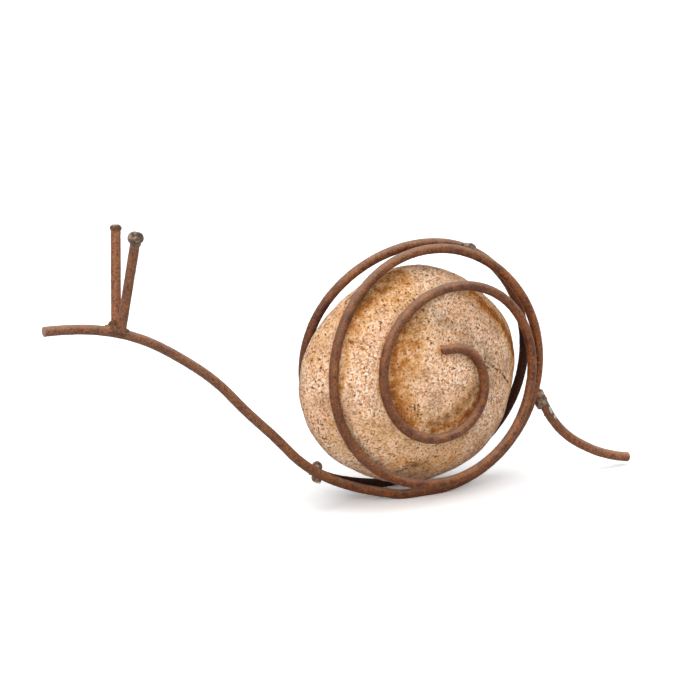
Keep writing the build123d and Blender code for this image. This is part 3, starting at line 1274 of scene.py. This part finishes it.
@dataclass
class Welds:
    """The welds of the snail and the drops on its feelers."""

    bars: BentFrame
    crown_leg: int = 1
    crown_weld_share: float = 0.76
    crown_step: float = 0.5
    bead_lift: float = 2.2
    tip_ripple_mm: float = 4.0
    button_ripple_height: float = 0.12
    feeler_rust: float = 0.85
    feeler_lumps: tuple[Lump, ...] = (
        Lump((-5.4, 0.3, -0.1), (2.8, 2.6, 1.7)),
        Lump((-3.9, 0.4, 1.3), (2.5, 2.6, 2.9)),
        Lump((4.1, 0.3, -0.5), (3.2, 2.7, 2.0)),
        Lump((-0.6, 0.0, 0.6), (4.6, 4.2, 2.6)),
        Lump((0.4, 0.0, 2.2), (3.4, 4.4, 2.6)),
        Lump((-0.4, -2.9, -0.9), (3.4, 1.7, 2.2)),
        Lump((0.8, 2.9, -0.9), (3.4, 1.7, 2.2)),
    )
    neck_rust: float = 0.75
    # The last two are painted glints
    neck_lumps: tuple[Lump, ...] = (
        Lump((-1.6, -0.8, 3.3), (3.0, 3.0, 2.7), 0.35),
        Lump((1.7, -0.8, -3.2), (3.2, 2.8, 2.3), 0.5),
        Lump((-1.2, 2.9, 0.0), (2.2, 3.2, 3.2)),
        Lump((-2.2, -0.9, 5.4), (1.5, 1.4, 0.8), -0.35),
        Lump((3.2, -2.0, -4.4), (1.4, 1.3, 0.8), -0.4),
    )
    crown_rust: float = 0.25
    crown_lumps: tuple[Lump, ...] = (
        Lump((-1.5, 0.0, 0.5), (2.9, 2.6, 2.3)),
        Lump((1.8, 0.2, 0.1), (2.9, 2.4, 2.1)),
    )
    tail_rust: float = 0.4
    # The last three are a drop of spatter and two streaks of bare metal, painted with a glint, down the tail
    tail_lumps: tuple[Lump, ...] = (
        Lump((-1.6, 0.0, -0.8), (3.6, 3.3, 3.3)),
        Lump((2.6, -0.2, -0.3), (4.4, 3.4, 3.3)),
        Lump((-3.6, 0.3, -2.4), (2.6, 2.6, 2.4)),
        Lump((4.6, 0.0, -3.2), (3.0, 2.6, 1.7)),
        Lump((12.2, -0.8, -2.0), (0.9, 0.9, 0.9)),
        Lump((10.4, -2.3, 1.5), (2.6, 1.0, 0.9), -0.4),
        Lump((16.0, -2.3, 2.4), (1.8, 1.0, 0.8), -0.25),
    )
    ball_rust: float = 0.25
    ball_lumps: tuple[Lump, ...] = (
        Lump((-0.3, 0.0, -0.6), (3.8, 4.1, 4.2)),
        Lump((-0.1, 0.0, 0.8), (3.4, 3.8, 3.5)),
        Lump((-3.4, 0.0, 0.2), (2.2, 3.1, 3.1)),
    )
    button_rust: float = 0.65
    # The second is a painted glint on the button's top
    button_lumps: tuple[Lump, ...] = (
        Lump((0.0, 0.0, 0.0), (2.4, 3.3, 3.3)),
        Lump((1.5, 0.0, 0.0), (1.0, 2.4, 2.4), -0.6),
    )

    def build(self, material: bpy.types.Material) -> None:
        """Make the welds at the feelers, neck, crown and tail, and the feelers' tips.

        Args:
            material: finish of the welds.
        """
        for bead in (*self.seam_beads(), *self.tip_drops()):
            bead.build(material)

    def crown_seat(self) -> tuple[Vector, Vector, Vector]:
        """Find the groove between the two coils, below their top.

        Returns:
            The middle of the groove, the heading along it and the outward direction.
        """
        rows = []
        for coil in (self.bars.front_coil, self.bars.back_coil):
            spots = coil.leg(self.crown_leg).spots(self.crown_step)
            rows.append(spots[round(self.crown_weld_share * len(spots))])
        (front, along, _), (back, _, _) = rows
        return (front + back) / 2, along, (back - front).cross(along).normalized()

    def seam_beads(self) -> list[WeldBead]:
        """The welds that join the bars.

        Returns:
            The welds at the feelers' feet, the neck, the crown and the tail's end.
        """
        bars = self.bars
        neck_spot = bars.foot_points(Side.FRONT)[0]
        neck_middle = Vector((neck_spot.x, 0, neck_spot.z))
        crown, along, outward = self.crown_seat()
        return [
            WeldBead(
                "feeler_bead",
                "feeler_weld",
                bars.head_spot + UP * self.bead_lift,
                bars.head_slope,
                UP,
                self.feeler_lumps,
                self.feeler_rust,
            ),
            WeldBead(
                "neck_bead",
                "neck_weld",
                neck_middle,
                bars.neck_slope,
                bars.neck_slope.cross(ACROSS),
                self.neck_lumps,
                self.neck_rust,
            ),
            WeldBead(
                "crown_bead",
                "crown_weld",
                crown + outward * self.bead_lift,
                along,
                outward,
                self.crown_lumps,
                self.crown_rust,
            ),
            WeldBead(
                "tail_bead",
                "tail_weld",
                bars.tail.points[0],
                bars.tail.headings[0],
                bars.tail_seat()[1],
                self.tail_lumps,
                self.tail_rust,
            ),
        ]

    def tip_drops(self) -> list[WeldBead]:
        """The ball on the left feeler and the low button on the right one.

        Returns:
            The two drops.
        """
        left_foot, left_end = self.bars.feeler_line(Side.FRONT)
        right_foot, right_end = self.bars.feeler_line(Side.BACK)
        return [
            WeldBead(
                "left_feeler_drop",
                "left_feeler_tip",
                left_end,
                left_end - left_foot,
                AHEAD,
                self.ball_lumps,
                self.ball_rust,
                self.tip_ripple_mm,
            ),
            WeldBead(
                "right_feeler_drop",
                "right_feeler_tip",
                right_end,
                right_end - right_foot,
                AHEAD,
                self.button_lumps,
                self.button_rust,
                self.tip_ripple_mm,
                self.button_ripple_height,
            ),
        ]


@dataclass(frozen=True)
class Smear:
    """A stain on one face of the cobble: a line of places along the snail and up, in millimetres.

    A stain with a depth is a crack.
    """

    stain: Stain
    line: tuple[tuple[float, float], ...]
    reach: float
    strength: float
    depth: float = 0.0
    side: Side = Side.FRONT
    spacing: float = 0.5
    # Past this many times its reach a stain can't be seen
    far_share: float = 2.5

    def tree(self) -> kdtree.KDTree:
        """Spots along the line, to measure from.

        Returns:
            A tree of the spots.
        """
        places = [Vector((x, 0, z)) for x, z in self.line]
        spots = places[:1]
        for start, end in zip(places, places[1:]):
            count = max(1, round((end - start).length / self.spacing))
            spots += [start.lerp(end, step / count) for step in range(1, count + 1)]
        return spot_tree(spots)

    def shares(self, verts: list[bmesh.types.BMVert]) -> list[tuple[bmesh.types.BMVert, float]]:
        """Points of that face that the stain reaches, each with its share.

        Args:
            verts: points of the cobble, in millimetres.

        Returns:
            Rows of point and share.
        """
        tree = self.tree()
        far = self.far_share * self.reach
        low_x, high_x = min(x for x, _ in self.line) - far, max(x for x, _ in self.line) + far
        low_z, high_z = min(z for _, z in self.line) - far, max(z for _, z in self.line) + far
        rows = []
        for vert in verts:
            x, y, z = vert.co
            if y * self.side.value > 0 and low_x < x < high_x and low_z < z < high_z:
                gap = tree.find((x, 0, z))[2]
                if gap < far:
                    rows.append((vert, exp(-((gap / self.reach) ** 2))))
        return rows


@dataclass(frozen=True)
class Swell:
    """A broad rise or hollow of the cobble: its direction from the middle, height and spread."""

    direction: Place
    height: float
    spread: float


@dataclass
class Cobble:
    """The cobble: an ellipsoid with swells and grain, rust washed in, and clear of the bars that grip it."""

    shape: CobbleShape
    bars: BentFrame
    subdivisions: int = 7
    # Broad unevenness, smaller dents and grain
    skin: Skin = ((40.0, 0.5), (11.0, 0.45), (2.6, 0.14))
    press_step: float = 1.0
    press_gap: float = 0.05
    contact_reach: float = 1.8
    contact_rust: float = 0.5
    crack_margin: float = 1.5
    crack_cuts: int = 2
    swells: tuple[Swell, ...] = (
        Swell((0.05, 0.1, 1.0), 2.0, 0.32),
        Swell((0.70, -0.1, 0.70), -1.1, 0.22),
        Swell((0.60, -0.28, -0.75), 1.3, 0.40),
        Swell((-0.50, 0.0, -0.87), -2.0, 0.35),
        Swell((-0.60, 0.26, 0.75), -1.1, 0.30),
        Swell((0.93, -0.28, -0.2), -0.9, 0.25),
        Swell((-0.96, 0.2, 0.0), 0.9, 0.35),
    )
    smears: tuple[Smear, ...] = (
        # Rust beside the turns of the coil
        Smear(Stain.RUST, ((-5, 108), (5, 119), (17, 126), (32, 131)), 6.0, 0.62),
        Smear(Stain.RUST, ((20, 123), (28, 124)), 9.0, 0.45),
        Smear(Stain.RUST, ((-8, 100), (-10, 88), (-13.5, 76), (-14.5, 70)), 2.0, 0.55),
        Smear(Stain.RUST, ((28, 108), (21, 95), (19, 82), (20, 70), (24, 58), (30, 50)), 7.0, 0.56),
        Smear(Stain.RUST, ((24, 105), (17, 94), (14.5, 82), (16, 70), (20, 58), (27, 50)), 3.6, 0.75),
        Smear(Stain.RUST, ((13.5, 74), (15, 65), (21, 54)), 2.4, 0.85),
        Smear(Stain.RUST, ((40, 45.5), (54, 46.5), (65.5, 53), (70, 62)), 3.0, 0.85),
        Smear(Stain.RUST, ((37, 49.5), (47.5, 52), (56, 55), (63, 61), (67, 68)), 4.0, 0.55),
        Smear(Stain.RUST, ((74, 118), (81, 110), (92, 99), (100, 87), (103, 78)), 3.4, 0.85),
        Smear(Stain.RUST, ((101, 84), (101.5, 72), (99.5, 61)), 3.5, 0.5),
        Smear(Stain.RUST, ((66, 119), (76, 116), (84, 109)), 4.5, 0.3),
        Smear(Stain.RUST, ((-14, 112), (-22, 101), (-26, 90)), 5.0, 0.42),
        Smear(Stain.RUST, ((31, 105), (33, 103)), 6.0, 0.35),
        Smear(Stain.RUST, ((33, 110), (28, 99), (26, 90), (25, 85)), 9.0, 0.5),
        # Thin rust over the low half, also painted shade that darkens it
        Smear(Stain.RUST, ((-16.5, 44.5), (-10, 38.5)), 4.0, 0.3),
        Smear(Stain.RUST, ((0, 50), (14.5, 42), (34, 33), (58, 31)), 10.0, 0.24),
        Smear(Stain.RUST, ((23, 27), (43.5, 22), (60, 25)), 8.0, 0.4),
        # Single rusty spots
        Smear(Stain.RUST, ((-6.5, 100), (-5.5, 99)), 1.2, 0.9),
        Smear(Stain.RUST, ((-1.5, 96.5), (-0.5, 96)), 1.0, 0.8),
        Smear(Stain.RUST, ((18.5, 98), (19, 97)), 1.3, 0.8),
        Smear(Stain.RUST, ((30, 97), (30.5, 96.5)), 1.2, 0.8),
        Smear(Stain.RUST, ((-18, 53.5), (-17, 52)), 3.5, 0.4),
        # Darker along the turns and on the crown
        Smear(Stain.DIRT_AND_SHADE, ((3.5, 120), (13, 125), (27, 131)), 3.2, 0.55),
        Smear(Stain.DIRT_AND_SHADE, ((39, 133), (47.5, 132), (57, 129), (64.5, 125)), 8.0, 0.2),
        Smear(Stain.DIRT_AND_SHADE, ((65, 116.5), (72.5, 108), (83, 98.5)), 8.0, 0.22),
        Smear(
            Stain.DIRT_AND_SHADE,
            ((26.5, 107), (36, 112), (47, 109), (59.5, 103), (73.5, 88.5), (79, 79.5)),
            8.0,
            0.42,
        ),
        Smear(Stain.DIRT_AND_SHADE, ((37, 48), (47.5, 51), (57, 55), (64, 61), (68, 68)), 3.6, 0.6),
        # Dark marks near the foot
        Smear(Stain.DIRT_AND_SHADE, ((27, 20), (34, 20.5), (42, 18)), 4.2, 0.42),
        Smear(Stain.DIRT_AND_SHADE, ((24, 20.5), (27, 21), (29.5, 23.5), (35.5, 23.5)), 2.0, 0.8),
        Smear(Stain.DIRT_AND_SHADE, ((33.5, 16), (35.5, 17)), 2.0, 0.75),
        Smear(Stain.DIRT_AND_SHADE, ((38, 24), (41, 24.5)), 1.4, 0.7),
        # Darker in the ring and along the crown's edge, a crack, and painted shadow beside the bar low at
        # the head's side
        Smear(Stain.DIRT_AND_SHADE, ((35, 57), (40, 51), (52, 50)), 5.0, 0.2),
        Smear(Stain.DIRT_AND_SHADE, ((30, 134), (45, 134.5), (58, 132)), 3.5, 0.38),
        Smear(Stain.DIRT_AND_SHADE, ((-7, 100.5), (-0.5, 99), (10, 95.5)), 1.2, 0.15, 0.3),
        Smear(Stain.DIRT_AND_SHADE, ((-9, 51), (0, 36), (12, 25)), 3.0, 0.35),
        # Painted shadow in a sunk notch where the bar lifts off the stone, and fine cracks at the tail's
        # side
        Smear(Stain.DIRT_AND_SHADE, ((78.5, 78.5), (83, 76)), 1.3, 0.8, 0.3),
        Smear(Stain.DIRT_AND_SHADE, ((81, 76.5), (86, 73)), 0.6, 1.0, 0.6),
        Smear(Stain.DIRT_AND_SHADE, ((90, 70), (96, 63.5)), 0.6, 1.0, 0.6),
        # The far face, like the near one
        Smear(Stain.RUST, ((28, 108), (20, 95), (18, 82), (19, 70), (25, 57)), 5.0, 0.6, side=Side.BACK),
        Smear(Stain.RUST, ((45, 45), (60, 50), (69, 60)), 3.0, 0.6, side=Side.BACK),
        Smear(Stain.RUST, ((-8, 100), (-11, 85), (-12, 72)), 3.5, 0.6, side=Side.BACK),
        Smear(Stain.RUST, ((88, 104), (99, 88)), 4.0, 0.5, side=Side.BACK),
        Smear(Stain.DIRT_AND_SHADE, ((30, 22), (45, 20)), 6.0, 0.4, side=Side.BACK),
    )

    def build(self, material: bpy.types.Material) -> bpy.types.Object:
        """Shape the stone, press the bars into it and paint its stains.

        Args:
            material: finish of the stone.

        Returns:
            The finished piece.
        """
        work = bmesh.new()
        half = Vector((self.shape.width / 2, self.shape.thickness / 2, self.shape.height / 2))
        place = Matrix.Translation(self.shape.centre) @ Matrix.Diagonal((*half, 1))
        bmesh.ops.create_icosphere(work, subdivisions=self.subdivisions, radius=1, matrix=place)
        self.wear(work, half)
        self.crack(work)
        rust = self.press(work)
        self.paint(work, rust)
        return finish_piece(work, "cobble", material, "stone")

    def wear(self, work: bmesh.types.BMesh, half: Vector) -> None:
        """Give the stone its swells, hollows and grain.

        Args:
            work: the stone.
            half: half sizes of the stone.
        """
        work.normal_update()
        centre = Vector(self.shape.centre)
        swells = [(Vector(swell.direction).normalized(), swell) for swell in self.swells]
        heights = []
        for vert in work.verts:
            out = vert.co - centre
            direction = Vector((out.x / half.x, out.y / half.y, out.z / half.z)).normalized()
            height = skin_height(vert.co, self.skin)
            for middle, swell in swells:
                apart = (direction - middle).length / swell.spread
                height += swell.height * exp(-(apart**2))
            heights.append(height)
        raise_skin(work, heights)

    def crack(self, work: bmesh.types.BMesh) -> None:
        """Sink the fine cracks, on a finer mesh.

        Args:
            work: the stone.
        """
        cracks = [smear for smear in self.smears if smear.depth]
        for smear in cracks:
            wider = replace(smear, reach=smear.reach + self.crack_margin)
            near = {vert for vert, _ in wider.shares(work.verts)}
            edges = [edge for edge in work.edges if near.issuperset(edge.verts)]
            bmesh.ops.subdivide_edges(work, edges=edges, cuts=self.crack_cuts, use_grid_fill=True)
        work.normal_update()
        for smear in cracks:
            for vert, share in smear.shares(work.verts):
                vert.co -= vert.normal * (smear.depth * share)

    def press(self, work: bmesh.types.BMesh) -> list[float]:
        """Push the stone clear of the bars that grip it.

        Args:
            work: the stone.

        Returns:
            The rust that the bars leave on each point.
        """
        routes = (self.bars.body, self.bars.back)
        tree = spot_tree([spot for route in routes for spot, _, _ in route.spots(self.press_step)])
        clear = BAR_RADIUS + self.press_gap
        rust = []
        for vert in work.verts:
            spot, _, distance = tree.find(vert.co)
            if distance < clear:
                vert.co = spot + (vert.co - spot).normalized() * clear
            gap = max(0.0, distance - clear) / self.contact_reach
            rust.append(self.contact_rust * exp(-(gap**2)))
        return rust

    def paint(self, work: bmesh.types.BMesh, rust: list[float]) -> None:
        """Write how much rust and dirt lies on each point of the stone.

        Args:
            work: the stone.
            rust: rust that the bars leave on each point.
        """
        layers = {stain: work.verts.layers.float.new(stain.value) for stain in Stain}
        for vert, value in zip(work.verts, rust):
            vert[layers[Stain.RUST]] = value
        for smear in self.smears:
            layer = layers[smear.stain]
            for vert, share in smear.shares(work.verts):
                vert[layer] = max(vert[layer], smear.strength * share)


@dataclass(frozen=True)
class SoftBox:
    """A large soft lamp, far off: its strength, the angle that it fills and where it shines from."""

    name: str
    strength: float
    spread: float
    shines_from: Place

    def build(self) -> None:
        """Make the lamp."""
        lamp = bpy.data.lights.new(self.name, "SUN")
        lamp.energy = self.strength
        lamp.angle = radians(self.spread)
        holder = add_object(self.name, lamp)
        holder.location = self.shines_from
        holder.rotation_euler = Vector(self.shines_from).to_track_quat("Z", "Y").to_euler()


@dataclass
class Studio:
    """White sweep under a faint sky, with soft boxes overhead and at the left and a wide fill in front."""

    floor_size: float = 12.0
    floor_tone: str = "#F4F4F4"
    bounce_tone: str = "#9C9C9C"
    floor_exposure: float = 1.47
    floor_lift: float = 0.03
    sky_tone: str = "#FFFFFF"
    sky_strength: Span = Span(at_start=0.35, at_end=1.0)
    lamps: tuple[SoftBox, ...] = (
        SoftBox("overhead_box", 0.75, 35.0, (-0.15, 0.12, 1.0)),
        SoftBox("left_box", 2.6, 50.0, (-1.0, -0.9, 0.34)),
        SoftBox("front_fill", 1.6, 120.0, (0.8, -1.0, 0.5)),
    )

    def build(self) -> None:
        """Make the floor, the sky and the lamps."""
        self.build_floor()
        self.build_sky()
        for lamp in self.lamps:
            lamp.build()

    def seen_share(self, tree: bpy.types.NodeTree) -> bpy.types.NodeSocket:
        """Tell what the camera sees, also in gloss and glass, from what lights the object.

        Args:
            tree: node tree of the floor or the sky.

        Returns:
            A socket that is 1 for camera, glossy and transmission rays.
        """
        path = put_node(tree, "ShaderNodeLightPath")
        seen = path.outputs["Is Camera Ray"]
        for ray in ("Is Glossy Ray", "Is Transmission Ray"):
            inputs = {0: seen, 1: path.outputs[ray]}
            seen = put_node(tree, "ShaderNodeMath", inputs, operation="MAXIMUM").outputs[0]
        return seen

    def build_floor(self) -> None:
        """Make a white floor that keeps the shadow."""
        work = bmesh.new()
        bmesh.ops.create_grid(work, x_segments=1, y_segments=1, size=self.floor_size / 2)
        mesh = bpy.data.meshes.new("floor")
        work.to_mesh(mesh)
        work.free()
        material, tree = new_tree("white_paper_sweep")
        # Paper exposed past white, so that only the deep shadow at the foot shows on it.
        # Less light comes back from it than the camera sees, so that undersides stay dark.
        seen = self.seen_share(tree)
        bright = [channel * self.floor_exposure for channel in linear(self.floor_tone)[:3]] + [1.0]
        inputs = {MIX_SHARE: seen, MIX_UNDER: linear(self.bounce_tone), MIX_OVER: bright}
        tone = put_node(tree, "ShaderNodeMix", inputs, data_type="RGBA").outputs[MIXED]
        paper = put_node(tree, "ShaderNodeBsdfDiffuse", {"Color": tone})
        lift = put_node(tree, "ShaderNodeMath", {0: seen, 1: self.floor_lift}, operation="MULTIPLY")
        glow = put_node(tree, "ShaderNodeEmission", {"Strength": lift.outputs[0]})
        both = put_node(tree, "ShaderNodeAddShader", {0: paper.outputs[0], 1: glow.outputs[0]})
        put_node(tree, "ShaderNodeOutputMaterial", {"Surface": both.outputs[0]})
        mesh.materials.append(material)
        floor = add_object("floor", mesh)

    def build_sky(self) -> None:
        """Make an even white sky, white to the camera and softer to the object."""
        world = bpy.data.worlds.new("white_tent")
        world.use_nodes = True
        tree = world.node_tree
        tree.nodes.clear()
        strength = put_node(tree, "ShaderNodeMapRange", self.sky_strength.inputs(self.seen_share(tree)))
        inputs = {"Color": linear(self.sky_tone), "Strength": strength.outputs["Result"]}
        sky = put_node(tree, "ShaderNodeBackground", inputs)
        put_node(tree, "ShaderNodeOutputWorld", {"Surface": sky.outputs[0]})
        bpy.context.scene.world = world


@dataclass
class PhotoCamera:
    """Camera at the photograph's viewing angle, aimed at a place on the snail's middle plane."""

    azimuth: float = -28.0
    elevation: float = 14.7
    aim: Place = (2.364, 0.0, 90.223)
    distance: float = 1913.268
    lens: float = 174.41
    sensor: float = 36.0
    clip_end: float = 50.0

    def build(self) -> None:
        """Make the camera and give it to the scene."""
        camera = bpy.data.cameras.new("photo_camera")
        camera.lens = self.lens
        camera.sensor_width = self.sensor
        camera.clip_end = self.clip_end
        turn = Euler((radians(90 - self.elevation), 0, radians(self.azimuth)))
        holder = add_object("photo_camera", camera)
        holder.location = (Vector(self.aim) + turn.to_matrix() @ UP * self.distance) * MM
        holder.rotation_euler = turn
        bpy.context.scene.camera = holder


def main() -> None:
    """Build the snail, its studio and the camera."""
    logging.basicConfig(level=logging.INFO, format="%(name)s: %(message)s")
    bpy.context.scene.view_settings.view_transform = "Standard"
    stone = CobbleShape()
    bars = BentFrame(stone)
    bars.build(RustedBar().make())
    Welds(bars).build(WeldMetal().make())
    Cobble(stone, bars).build(SpeckledCobble().make())
    Studio().build()
    PhotoCamera().build()


if __name__ == "__main__":
    main()
